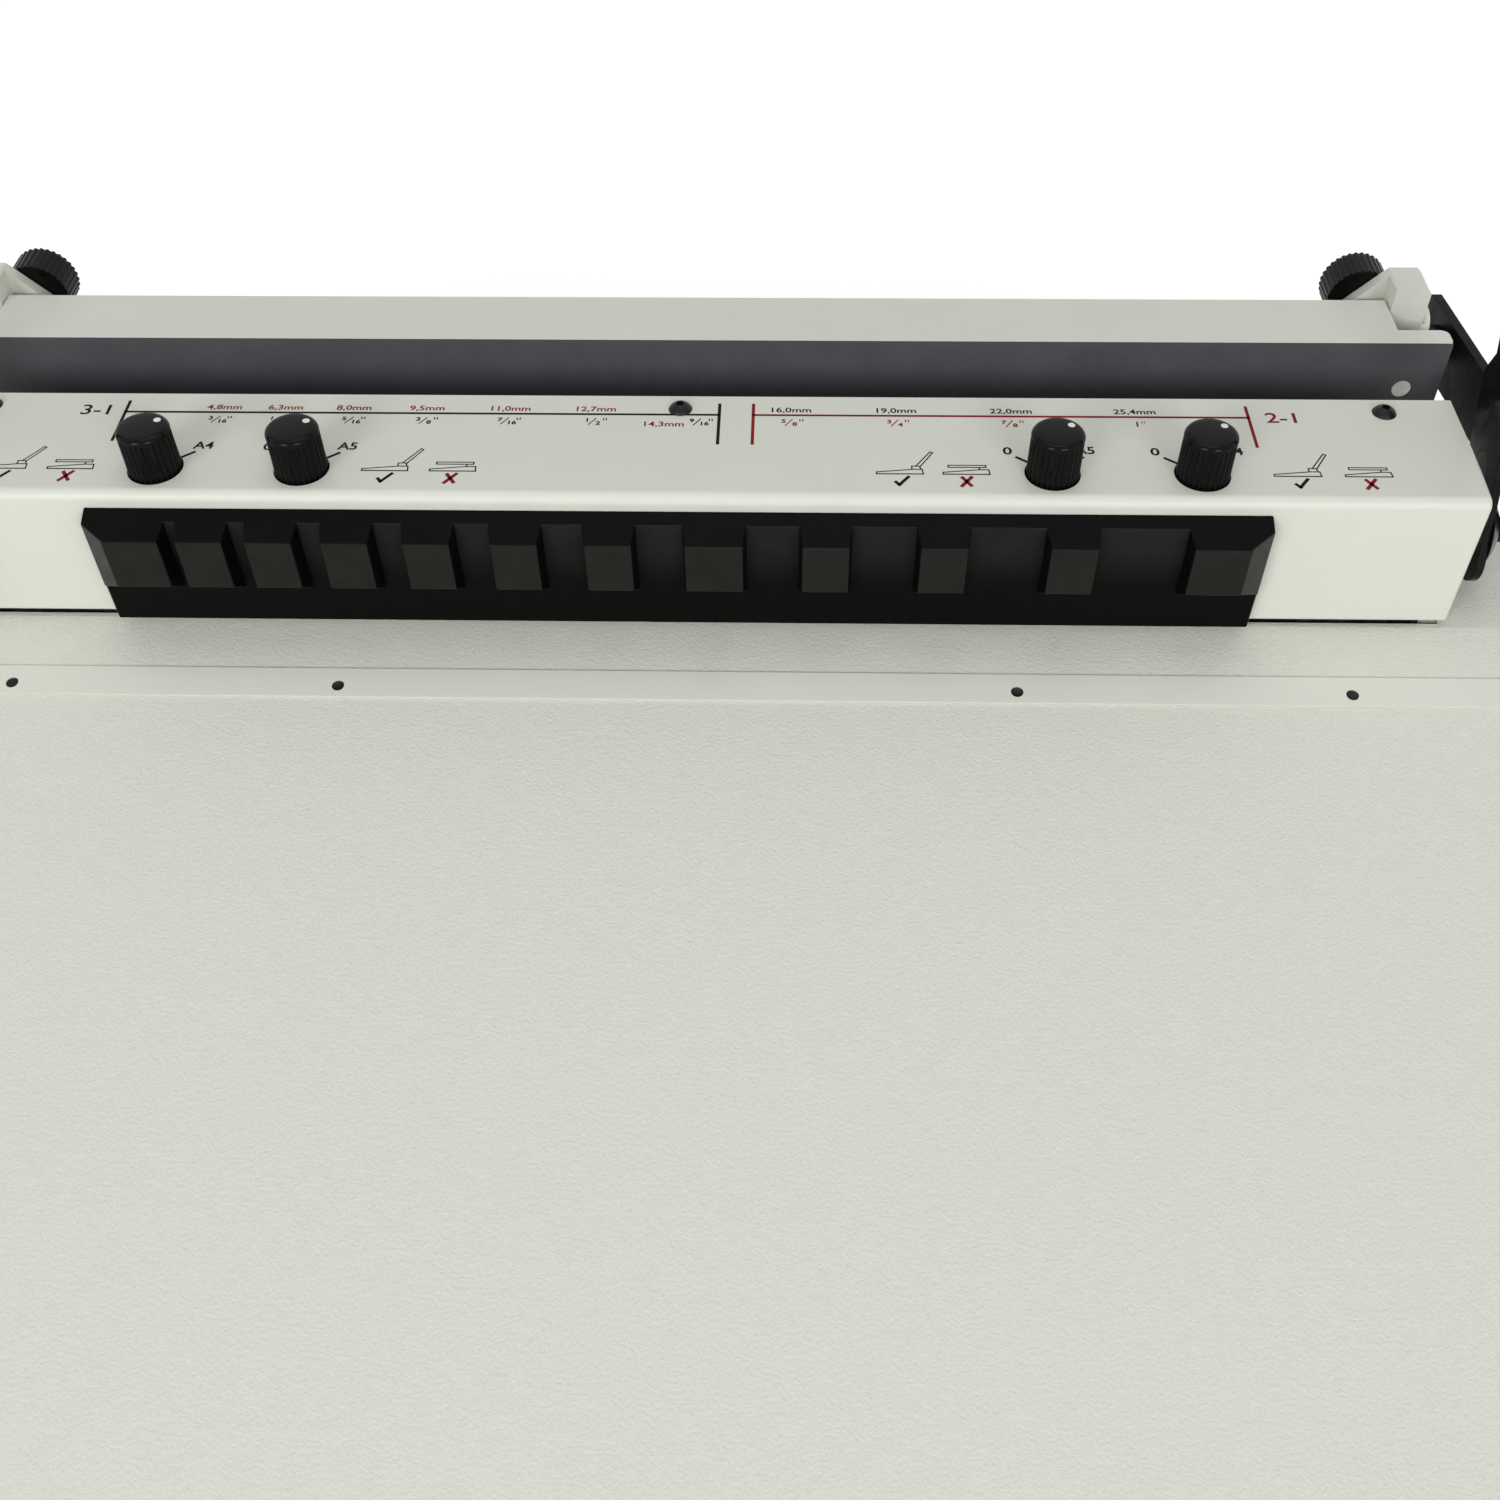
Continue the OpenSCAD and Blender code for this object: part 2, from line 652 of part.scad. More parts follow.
module pivot_bolts() color(black) place() both() at_pivot() {
    translate([arm_x + arm_t, 0, 0]) rotate([0, 90, 0]) cap(dome_r, dome_t);
    rod_x(arm_x - 10, arm_x + arm_t + 0.5, 0, 0, bolt_r);
}

module drive_pins() color(black) place() both()
    translate([0, pivot_y + crank * cos(lean), pivot_z + crank * sin(lean)]) {
        rod_x(arm_x, link_x + link_t + slide, 0, 0, drive_r);
        rod_x(arm_x + arm_t, link_x - slide, 0, 0, shoulder_r);
        rod_x(link_x + link_t + slide, link_x + link_t + slide + 1.8, 0, 0, drive_r + 2.5);
    }

module handle_tube() color(black) place() difference() {
    rod_x(-arm_x, arm_x, tube_y, tube_z, tube_r);
    rod_x(-arm_x - 1, arm_x + 1, tube_y, tube_z, tube_r - tube_t);
}

module tube_studs() color(black) place() both() {
    rod_x(arm_x - 20, arm_x, tube_y, tube_z, tube_r - tube_t - fixed);
    rod_x(arm_x - 1, arm_x + arm_t + 1, tube_y, tube_z, stud_r);
    rod_x(arm_x + arm_t, arm_x + arm_t + 3, tube_y, tube_z, stud_r + 4);
}

module handle_grip() color(black) place() difference() {
    rod_x(-grip_len / 2, grip_len / 2, tube_y, tube_z, grip_r);
    rod_x(-grip_len / 2 - 1, grip_len / 2 + 1, tube_y, tube_z, tube_r + fixed);
}

// moving punching parts

module pressure_plate() color(steel) place() tilt() difference() {
    union() {
        box(-web_x - web_t, web_x + web_t, press_v0, press_v1, press_n, press_top);
        both() {
            along_x(web_x, web_x + web_t) polygon([[press_v0, press_top], [press_v0, holder_n],
                [pin_v + 1, strip_top + 3], [foot_v0, strip_top + 3], [foot_v0, foot_n], [foot_v1, foot_n],
                [foot_v1, follow_n], [shaft_v - shaft_r - 0.4, follow_n],
                [shaft_v - shaft_r - 0.4, press_top]]);
            box(web_x, foot_x, foot_v0, foot_v1, foot_n, follow_n);
        }
    }
    box(-edge_pin_far - 16, edge_pin_far + 16, key_v0, key_v1, press_top - key_t - gap, press_top + 1);
    for (x = [-edge_pin_far, -edge_pin_near, edge_pin_near, edge_pin_far])
        translate([x, pin_v, press_n - 1]) cylinder(h = press_t + 2, r = pin_r + run, $fn = 24);
}

module pin_holder() color(steel) place() tilt() difference() {
    box(-plate_x, plate_x, press_v0, plate_v1, holder_n, press_n);
    pin_row() translate([0, 0, holder_n - 1]) cylinder(h = holder_t + 2, r = pin_r + run, $fn = 24);
    pin_row() translate([0, 0, press_n - head_t - gap]) cylinder(h = 4, r = head_r + gap, $fn = 24);
}

module punch_pins() color(steel) place() tilt() {
    pin_row() translate([0, 0, tip_n]) cylinder(h = press_n - tip_n - 0.5, r = pin_r, $fn = 24);
    for (i = [0 : pins - 1]) let (k = abs(i - (pins - 1) / 2))
        translate([(i - (pins - 1) / 2) * pitch, pin_v, 0])
            if (k == 17.5 || k == 12.5) translate([0, 0, tip_n + 1])
                cylinder(h = press_top - key_t - 2 * gap - tip_n - 1, r = pin_r, $fn = 24);
            else translate([0, 0, press_n - head_t]) cylinder(h = head_t, r = head_r, $fn = 24);
}

// selector knobs, their cranked spindles and the keys over the edge pins

module knob_profile() {
    crown_r = (knob_r * knob_r + knob_crown * knob_crown) / (2 * knob_crown);
    translate([0, knob_low]) square([knob_r, knob_top - knob_cap - knob_low]);
    translate([0, knob_low]) square([knob_r - groove_in, knob_top - knob_cap + 1 - knob_low]);
    intersection() {
        translate([0, knob_top - knob_cap + knob_groove]) {
            square([knob_r - knob_edge, knob_cap - knob_groove]);
            square([knob_r, knob_cap - knob_groove - knob_edge]);
            translate([knob_r - knob_edge, knob_cap - knob_groove - knob_edge]) circle(knob_edge);
        }
        translate([0, knob_top - crown_r]) circle(crown_r, $fn = 180);
    }
}

module knob(x) color(black) place() translate([x, knob_y, 0]) difference() {
    rotate_extrude() knob_profile();
    translate([0, 0, knob_low - 1]) cylinder(h = spindle_in + 2, r = spindle_r + fixed, $fn = 32);
    for (i = [0 : flutes - 1]) rotate(360 * i / flutes) translate([knob_r + 0.6 - flute_d, 0, knob_low - 1])
        cylinder(h = knob_top - knob_cap + knob_groove / 2 - knob_low + 1, r = 0.6, $fn = 24);
}
module knob_a4_left() knob(-knob_far);
module knob_a5_left() knob(-knob_near);
module knob_a5_right() knob(knob_near);
module knob_a4_right() knob(knob_far);

module spindle(x) color(steel) place() translate([x, knob_y, 0]) {
    translate([0, 0, spindle_low]) cylinder(h = knob_low + spindle_in - spindle_low, r = spindle_r, $fn = 32);
    translate([0, 0, spindle_low]) cylinder(h = 2.5, r = knob_crank + crank_r + 0.6);
    rotate(key_rest) translate([knob_crank, 0, crank_low])
        cylinder(h = spindle_low - crank_low + 1, r = crank_r, $fn = 24);
}
module spindle_a4_left() spindle(-knob_far);
module spindle_a5_left() spindle(-knob_near);
module spindle_a5_right() spindle(knob_near);
module spindle_a4_right() spindle(knob_far);

// key with a hole over its pin at rest and a fork for the crank
module key(xk, xp) color(bronze) place() tilt() {
    n0 = press_top - key_t;
    fork_x = xk + knob_crank * cos(key_rest);
    fork_v = (knob_y - knob_crank) * cos(slope) + (crank_low + throat + 1) * sin(slope);
    difference() {
        box(min(xk, xp) - 7.5, max(xk, xp) + 6, key_v0 + gap, key_v1 - gap, n0, press_top);
        translate([xp, pin_v, n0 - 1]) cylinder(h = key_t + 2, r = pin_r + 0.1, $fn = 24);
        translate([fork_x, fork_v, n0 - 1]) cylinder(h = key_t + 2, r = crank_r + 0.2, $fn = 24);
        box(fork_x - crank_r - 0.2, fork_x + crank_r + 0.2, fork_v, key_v1 + 1, n0 - 1, press_top + 1);
    }
}
module key_a4_left() key(-knob_far, -edge_pin_far);
module key_a5_left() key(-knob_near, -edge_pin_near);
module key_a5_right() key(knob_near, edge_pin_near);
module key_a4_right() key(knob_far, edge_pin_far);

// closer

module bracket() color(cream) place() difference() {
    union() {
        rotate([90, 0, 0]) translate([0, 0, -bracket_rear]) linear_extrude(bracket_rear - lug_front)
            polygon([[bracket_in, bracket_low], [bracket_x, bracket_low], [bracket_x, bracket_top - 1.5],
                [bracket_x - 1.5, bracket_top], [cut_x, bracket_top],
                [bracket_in, bracket_top - (cut_x - bracket_in)]]);
        rotate([90, 0, 0]) translate([0, 0, -bracket_rear]) linear_extrude(bracket_rear - notch_front)
            polygon([[notch_x, bracket_low], [bracket_x, bracket_low], [bracket_x, bracket_top - 1.5],
                [bracket_x - 1.5, bracket_top], [cut_x, bracket_top], [notch_x, bracket_top - 0.5]]);
        box(bracket_in, bracket_x, bracket_foot_y, bracket_rear, bracket_low, bracket_foot);
        for (z = [link_mid_z, seat_z]) rod_x(bracket_x - 1, bracket_x + seat_t, boss_y, z, seat_r);
        box(bracket_x - 1, bracket_x + seat_t, boss_y - seat_r, boss_y + seat_r, link_mid_z, seat_z);
    }
    rod_y(bracket_foot_y - 1, bracket_rear + 1, rod_x, rod_z, rod_r + run);
    rod_y(notch_front - 1, bracket_rear + 1, dowel_x, dowel_z, dowel_r + run);
    rod_y(lug_front - 1, bracket_rear + 1, wheel_x, wheel_z, adj_r + run);
    rod_x(bracket_x - link_seat, bracket_x + seat_t + 1, boss_y, link_mid_z, link_bolt_r + fixed);
}
module bracket_right() bracket();
module bracket_left() flip() bracket();

// centre of the drive pin in the link's own frame after a turn of a degrees
function slot_at(a) = [pivot_y + crank * cos(lean + a) + close_rate * a * PI / 180,
    pivot_z + crank * sin(lean + a)];
function clear_of(p, path, r) = min([for (q = path) norm(p - q)]) > r - 0.02;
module slot_path(r) {
    path = [for (a = [0 : 3 : lever_turn]) slot_at(a)];
    n = len(path);
    sides = [for (i = [0 : n - 1]) let (d = path[min(i + 1, n - 1)] - path[max(i - 1, 0)])
        r * [d[1], -d[0]] / norm(d)];
    near = [for (i = [0 : n - 1]) if (clear_of(path[i] + sides[i], path, r)) path[i] + sides[i]];
    far = [for (i = [n - 1 : -1 : 0]) if (clear_of(path[i] - sides[i], path, r)) path[i] - sides[i]];
    polygon(concat(near, far));
    translate(path[0]) circle(r);
    translate(path[n - 1]) circle(r);
}

module link() color(black) place() along_x(link_x, link_x + link_t) difference() {
    union() {
        translate([boss_y, link_mid_z]) rotate(-link_tilt) {
            translate([pivot_y - link_front - boss_y, -link_w / 2])
                square([boss_y - pivot_y + link_front + link_end - link_round, link_w]);
            translate([link_end - 2 * link_round, -link_w / 2 + link_round])
                square([2 * link_round, link_w - 2 * link_round]);
            for (y = [-1, 1]) translate([link_end - link_round, y * (link_w / 2 - link_round)])
                circle(link_round);
        }
        slot_path(drive_r + slot_wall);
    }
    slot_path(drive_r + slot_gap);
    translate([boss_y, link_mid_z]) circle(link_bolt_r + fixed);
}
module link_right() link();
module link_left() flip() link();

module link_spacers() color(black) place() both() difference() {
    rod_x(bracket_x + seat_t, link_x, boss_y, link_mid_z, seat_r);
    rod_x(bracket_x + seat_t - 1, link_x + 1, boss_y, link_mid_z, link_bolt_r + fixed);
}

module link_bolts() color(black) place() both() {
    rod_x(bracket_x - link_seat + slide, link_x + link_t + 1, boss_y, link_mid_z, link_bolt_r);
    rod_x(link_x + link_t, link_x + link_t + 3, boss_y, link_mid_z, link_bolt_r + 2.5);
}

module closing_bar() color(cream) place() difference() {
    union() {
        box(-bar_x, bar_x, jaw_y + jaw_t, bar_rear, bar_z, cover_h);
        translate([0, 0, bar_z]) linear_extrude(cover_h - bar_z) {
            translate([-ledge_x, jaw_y + jaw_t]) square([2 * ledge_x, ledge_d - jaw_t - ledge_r]);
            translate([-ledge_x + ledge_r, jaw_y + jaw_t])
                square([2 * (ledge_x - ledge_r), ledge_d - jaw_t]);
            both() translate([ledge_x - ledge_r, jaw_y + ledge_d - ledge_r]) circle(ledge_r);
        }
    }
    both() {
        rod_y(jaw_y + jaw_t + 3, bar_rear + 1, wheel_x, wheel_z, adj_r + run);
        rod_y(jaw_y, jaw_y + ledge_d + 1, dowel_x, dowel_z, dowel_r + fixed);
    }
}

module jaw_plate() color(dark) place() difference() {
    box(-ledge_x, ledge_x, jaw_y, jaw_y + jaw_t, bar_z, cover_h);
    both() rod_y(jaw_y - 1, jaw_y + jaw_t + 1, dowel_x, dowel_z, dowel_r + fixed);
}

module bar_dowels() color(steel) place() both()
    rod_y(jaw_y, bracket_rear + adjust, dowel_x, dowel_z, dowel_r);

module thumbwheel() color(black) place() translate([wheel_x, bracket_rear + 0.4, wheel_z]) rotate([-90, 0, 0])
    difference() {
        cylinder(h = wheel_t, r = wheel_r);
        translate([0, 0, -1]) cylinder(h = wheel_t - 1, r = adj_r + fixed);
        for (i = [0 : wheel_grooves - 1]) rotate(360 * i / wheel_grooves)
            translate([wheel_r + 0.3, 0, -1]) cylinder(h = wheel_t + 2, r = 0.7, $fn = 24);
    }
module thumbwheel_right() thumbwheel();
module thumbwheel_left() flip() thumbwheel();

module adjust_screw() color(steel) place()
    rod_y(jaw_y + jaw_t + 3 + adjust + 0.5, bracket_rear + wheel_t - 2, wheel_x, wheel_z, adj_r);
module adjust_screw_right() adjust_screw();
module adjust_screw_left() flip() adjust_screw();

// chip tray and side stop

module chip_tray() color(dark) place() {
    z0 = base_z + plate_t + slide;
    z1 = -throat - tray_top;
    y0 = deck_end - base_t - tray_d;
    difference() {
        box(-tray_x, tray_x, y0, deck_end - 1, z0, z1);
        box(-tray_x + tray_t, tray_x - tray_t, y0 + tray_t, deck_end - base_t, z0 + tray_t, z1 + 1);
    }
    box(-tray_x - 1.5, tray_x + 1.5, deck_end - base_t, deck_end, z0, z1 + 1.5);
    box(-40, 40, deck_end - 1, deck_end + 9, z0 + 24, z0 + 27);
}

module side_stop() color(black) place() tilt() difference() {
    union() {
        box(-stop_x - stop_w, -stop_x, -rail_v - rail_w - 3, -rail_v + 3, slide, stop_h);
        box(-stop_x - stop_w, -stop_x - stop_w + 4, -rail_v - rail_w - 9, -rail_v - rail_w, slide, stop_h);
    }
    box(-stop_x - stop_w - 1, -stop_x + 1, -rail_v - rail_w - slide, -rail_v + slide, -1, rail_t + slide);
}

base_shell();
bottom_plate();
rubber_feet();
table_rail();
end_frame_left();
end_frame_right();
housing_cover();
cover_screws();
wire_gauge();
die_plate();
die_bed();
back_stop();
stripper_plate();
rear_anvil();
selector_rail();
shaft_bushes();
guide_rods();
return_spring_left();
return_spring_right();
drive_shaft();
cam_left();
cam_right();
handle_arm_left();
handle_arm_right();
arm_spacers();
pivot_bolts();
drive_pins();
handle_tube();
tube_studs();
handle_grip();
pressure_plate();
pin_holder();
punch_pins();
knob_a4_left();
knob_a5_left();
knob_a5_right();
knob_a4_right();
spindle_a4_left();
spindle_a5_left();
spindle_a5_right();
spindle_a4_right();
key_a4_left();
key_a5_left();
key_a5_right();
key_a4_right();
bracket_left();
bracket_right();
link_left();
link_right();
link_spacers();
link_bolts();
closing_bar();
jaw_plate();
bar_dowels();
thumbwheel_left();
thumbwheel_right();
adjust_screw_left();
adjust_screw_right();
chip_tray();
side_stop();
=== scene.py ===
"""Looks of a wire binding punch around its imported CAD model: rounded edges, prints, finishes, light, camera."""
import json
import math

import bmesh
import bpy
from mathutils import Matrix, Vector


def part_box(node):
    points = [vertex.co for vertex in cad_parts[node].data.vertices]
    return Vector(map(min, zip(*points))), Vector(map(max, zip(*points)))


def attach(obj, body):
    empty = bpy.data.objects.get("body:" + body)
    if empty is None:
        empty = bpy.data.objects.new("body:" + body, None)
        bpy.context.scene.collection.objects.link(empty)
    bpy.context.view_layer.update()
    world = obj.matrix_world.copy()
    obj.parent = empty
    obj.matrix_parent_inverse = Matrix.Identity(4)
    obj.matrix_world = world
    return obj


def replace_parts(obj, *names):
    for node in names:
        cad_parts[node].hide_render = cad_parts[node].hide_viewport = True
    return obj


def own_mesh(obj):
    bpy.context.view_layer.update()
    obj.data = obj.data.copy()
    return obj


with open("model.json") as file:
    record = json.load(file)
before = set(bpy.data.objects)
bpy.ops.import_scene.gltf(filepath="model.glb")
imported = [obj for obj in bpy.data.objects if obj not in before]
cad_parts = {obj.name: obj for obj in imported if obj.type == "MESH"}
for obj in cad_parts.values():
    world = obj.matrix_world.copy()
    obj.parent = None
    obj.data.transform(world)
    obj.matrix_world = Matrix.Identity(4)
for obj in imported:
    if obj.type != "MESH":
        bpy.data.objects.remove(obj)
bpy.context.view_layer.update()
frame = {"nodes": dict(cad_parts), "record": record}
NODES = frame["nodes"]
BODY_OF = {n: b for b, names in frame["record"]["behaviour"]["bodies"].items() for n in names}
SLOT_OF = {p["node"]: p["material_slot"] for p in frame["record"]["subparts"]}
MM = 0.001
SAME_PLACE = 2e-5  # metres within which two places count as one
scene = bpy.context.scene

# the housing's lower front edge is the origin of the millimetre values below
cover_lo, cover_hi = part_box("housing_cover")
COVER_TOP = (cover_hi.z - cover_lo.z) / MM
COVER_X = cover_hi.x / MM


def at(x, y, z):
    """A point of the shared frame from millimetres off the housing's lower front edge."""
    return Vector((x * MM, cover_lo.y + y * MM, cover_lo.z + z * MM))


# finishes

def graph(name):
    """A new material with one Principled surface."""
    made = bpy.data.materials.new(name)
    made.use_nodes = True
    tree = made.node_tree
    tree.nodes.clear()
    out = tree.nodes.new("ShaderNodeOutputMaterial")
    shader = tree.nodes.new("ShaderNodeBsdfPrincipled")
    tree.links.new(shader.outputs["BSDF"], out.inputs["Surface"])
    return made, tree, shader


def add(tree, kind, inputs=None, **fields):
    """A new node; each input is either a socket to link or a value to set."""
    made = tree.nodes.new(kind)
    for key, value in fields.items():
        setattr(made, key, value)
    for key, value in (inputs or {}).items():
        if isinstance(value, bpy.types.NodeSocket):
            tree.links.new(value, made.inputs[key])
        else:
            made.inputs[key].default_value = value
    return made


def noise(tree, coords, scale, detail=3.0, rough=0.55, stretch=(1, 1, 1)):
    moved = add(tree, "ShaderNodeMapping", {"Vector": coords, "Scale": stretch})
    made = add(tree, "ShaderNodeTexNoise", {"Vector": moved.outputs[0], "Scale": scale,
                                            "Detail": detail, "Roughness": rough})
    return made.outputs["Fac"]


def spread(tree, fac, low, high, start=0.3, end=0.7):
    """A factor's range from start to end, stretched to low and high."""
    made = add(tree, "ShaderNodeMapRange", {"Value": fac, "From Min": start, "From Max": end,
                                            "To Min": low, "To Max": high})
    return made.outputs[0]


def blend(tree, fac, below, above):
    """A colour between two, each a socket or red, green and blue with alpha."""
    made = add(tree, "ShaderNodeMix", {0: fac, 6: below, 7: above}, data_type="RGBA")
    return made.outputs[2]


def finish_of(name, colour, rough, mottle, grain, metal=0.0, specular=0.5, uneven=(240, 0.06),
              stretch=(1, 1, 1), specks=None, painted_shade=None):
    """A surface whose colour drifts, whose gloss is uneven and whose grain is raised, all in object space.

    mottle and uneven are a noise scale and an amount, grain a scale, a strength and a height in mm,
    specks a scale, an amount and a colour, and painted_shade two heights and the colour at the lower one, a
    painted shade that darkens the surface towards its foot.
    """
    made, tree, shader = graph(name)
    coords = tree.nodes.new("ShaderNodeTexCoord").outputs["Object"]
    drift = noise(tree, coords, mottle[0], 4.0)
    dark = [c * (1 - mottle[1]) for c in colour] + [1]
    light = [min(1, c * (1 + mottle[1])) for c in colour] + [1]
    tint = blend(tree, spread(tree, drift, 0, 1), dark, light)
    fine = noise(tree, coords, grain[0], 4.0, 0.6, stretch)
    if specks:
        scale, amount, speck = specks
        dots = noise(tree, coords, scale, 2.0, 0.5, stretch)
        tint = blend(tree, spread(tree, dots, 0, amount, start=0.58), tint, list(speck) + [1])
    # painted shade: the colour darkens from the upper height down to the lower one
    if painted_shade:
        low, high, shade_colour = painted_shade
        height = add(tree, "ShaderNodeSeparateXYZ", {"Vector": coords}).outputs["Z"]
        shade_ramp = add(tree, "ShaderNodeMapRange", {"Value": height, "From Min": low, "From Max": high,
                                                "To Min": 1, "To Max": 0}, interpolation_type="SMOOTHSTEP")
        tint = blend(tree, shade_ramp.outputs[0], tint, list(shade_colour) + [1])
    tree.links.new(tint, shader.inputs["Base Color"])
    gloss = noise(tree, coords, uneven[0], 2.0)
    tree.links.new(spread(tree, gloss, rough - uneven[1], rough + uneven[1]), shader.inputs["Roughness"])
    bump = add(tree, "ShaderNodeBump", {"Height": fine, "Strength": grain[1], "Distance": grain[2] * MM})
    tree.links.new(bump.outputs[0], shader.inputs["Normal"])
    shader.inputs["Metallic"].default_value = metal
    shader.inputs["Specular IOR Level"].default_value = specular
    return made


CREAM = (0.66, 0.675, 0.60)
# black lightened by painted reflection, for the gauge's block fronts and end slopes
GAUGE_PAINTED_REFLECTION_TINT = (0.0134, 0.0131, 0.0119)
GAUGE_SKIN = dict(mottle=(160, 0.12), grain=(2400, 0.3, 0.06))
PRINT_GRAIN = (3000, 0.1, 0.02)
FINISH = {
    "cream_paint": finish_of("cream_hammered", CREAM, 0.5, specular=0.35, mottle=(260, 0.014),
                             grain=(1050, 0.9, 0.3)),
    "cream_smooth": finish_of("cream_satin", CREAM, 0.4, specular=0.35, mottle=(22, 0.015),
                              grain=(1500, 0.10, 0.12)),
    "black_plastic": finish_of("black_moulding", (0.0028, 0.0028, 0.0027), 0.42, specular=0.04,
                               mottle=(120, 0.2), grain=(2600, 0.2, 0.06)),
    "black_paint": finish_of("black_satin", (0.0042, 0.0042, 0.0042), 0.22, specular=0.13, mottle=(60, 0.2),
                             grain=(1300, 0.15, 0.08)),
    "dark_steel": finish_of("dark_ground_steel", (0.088, 0.0855, 0.0955), 0.5, specular=0.2,
                            mottle=(90, 0.07), grain=(3200, 0.3, 0.04), stretch=(1, 1, 0.1),
                            specks=(3600, 0.16, (0.16, 0.155, 0.17))),
    "steel": finish_of("ground_steel", (0.52, 0.525, 0.53), 0.34, metal=1.0, mottle=(60, 0.06),
                       grain=(1800, 0.25, 0.04), stretch=(0.05, 1, 1)),
    "bright_steel": finish_of("turned_steel", (0.66, 0.66, 0.65), 0.3, metal=1.0, mottle=(300, 0.08),
                              grain=(2600, 0.3, 0.04)),
    "bronze": finish_of("bearing_bronze", (0.48, 0.30, 0.13), 0.36, metal=1.0, mottle=(140, 0.1),
                        grain=(1800, 0.2, 0.04)),
    "black_screw": finish_of("black_oxide", (0.006, 0.006, 0.006), 0.34, specular=0.22,
                             mottle=(400, 0.25), grain=(3000, 0.2, 0.03)),
    "rubber": finish_of("foot_rubber", (0.012, 0.012, 0.012), 0.75, specular=0.15, mottle=(150, 0.2),
                        grain=(2400, 0.4, 0.1)),
    "grip_foam": finish_of("grip_foam", (0.011, 0.011, 0.0112), 0.82, specular=0.12, mottle=(200, 0.25),
                           grain=(1700, 0.8, 0.25), specks=(2300, 0.5, (0.005, 0.005, 0.005))),
}
KNOB_BLACK = finish_of("black_knob", (0.0036, 0.0036, 0.0035), 0.1, specular=0.1, mottle=(150, 0.15),
                       uneven=(300, 0.03), grain=(2200, 0.05, 0.03))
# gauge block fronts: black lightened by painted reflection
GAUGE_FACE_PAINTED_REFLECTION = finish_of("black_gauge_face_painted_reflection", GAUGE_PAINTED_REFLECTION_TINT, 0.5, specular=0.08, **GAUGE_SKIN)
# plane behind the gauge's slots: as light as the fronts near its top, which is painted reflection, and darkened
# towards its foot by painted shade under the blocks
GAUGE_BACK_PAINTED_SHADE = finish_of("black_gauge_back_painted_shade", (0.0135, 0.0134, 0.0125), 0.48, specular=0.06, **GAUGE_SKIN,
                       painted_shade=(at(0, 0, 14).z, at(0, 0, 32).z, (0.0016, 0.0016, 0.0016)))
# gauge end slopes: black lightened by painted reflection
GAUGE_END_PAINTED_REFLECTION = finish_of("black_gauge_end_painted_reflection", GAUGE_PAINTED_REFLECTION_TINT, 0.45, specular=0.3, **GAUGE_SKIN)
INK_BLACK = finish_of("ink_black", (0.005, 0.005, 0.0055), 0.5, specular=0.06, mottle=(700, 0.3),
                      grain=PRINT_GRAIN)
INK_RED = finish_of("ink_red", (0.22, 0.012, 0.016), 0.5, specular=0.06, mottle=(700, 0.15),
                    grain=PRINT_GRAIN)
DOT_WHITE = finish_of("dot_white", (0.78, 0.78, 0.75), 0.5, specular=0.3, mottle=(900, 0.06),
                      grain=PRINT_GRAIN)

for name, obj in NODES.items():
    obj.data.materials.clear()
    obj.data.materials.append(KNOB_BLACK if name.startswith("thumbwheel") else FINISH[SLOT_OF[name]])


# pieces

def new_piece(name, bm, finishes, body, sharp=35):
    """An object from bm that rides on a body, smooth but for edges over the angle sharp, in degrees."""
    mesh = bpy.data.meshes.new(name)
    bm.to_mesh(mesh)
    bm.free()
    for f in finishes:
        mesh.materials.append(f)
    mesh.polygons.foreach_set("use_smooth", [True] * len(mesh.polygons))
    mesh.set_sharp_from_angle(angle=math.radians(sharp))
    made = bpy.data.objects.new(name, mesh)
    scene.collection.objects.link(made)
    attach(made, body)
    return made


def strip(bm, first, second):
    """Faces between two rings of as many points."""
    for i in range(len(first)):
        j = (i + 1) % len(first)
        bm.faces.new((first[i], first[j], second[j], second[i]))


def long_edge(edge):
    return edge.calc_length() > 2.5 * MM


def outer_edge(edge):
    return edge.is_convex and edge.calc_length() > 5 * MM


MERGE_WITHIN = 2e-6
FLAT_ANGLE = math.radians(0.6)
CREASE_ANGLE = math.radians(28)


def rounded(node, passes, finishes=None, segments=3, paint=None, shape=None):
    """A copy of a CAD node with its edges truly rounded; each pass is a radius in mm and a test for its edges.

    shape changes the mesh before the rounding, and paint gives a face the number of its finish.
    """
    bm = bmesh.new()
    bm.from_mesh(NODES[node].data)
    bmesh.ops.remove_doubles(bm, verts=bm.verts, dist=MERGE_WITHIN)
    bmesh.ops.dissolve_limit(bm, angle_limit=FLAT_ANGLE, verts=bm.verts, edges=bm.edges)
    if shape:
        shape(bm)
    for radius, test in passes:
        picked = [e for e in bm.edges if len(e.link_faces) == 2
                  and e.calc_face_angle(0) > CREASE_ANGLE and test(e)]
        bmesh.ops.bevel(bm, geom=picked, offset=radius * MM, offset_type="OFFSET", segments=segments,
                        profile=0.5, affect="EDGES", clamp_overlap=True)
    bm.normal_update()
    if paint:
        for f in bm.faces:
            f.material_index = paint(f)
    slot = SLOT_OF[node]
    made = new_piece(node + "_rounded", bm, finishes or [FINISH[slot]], BODY_OF[node])
    even = made.modifiers.new("even_normals", "WEIGHTED_NORMAL")
    even.keep_sharp = True
    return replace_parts(made, node)


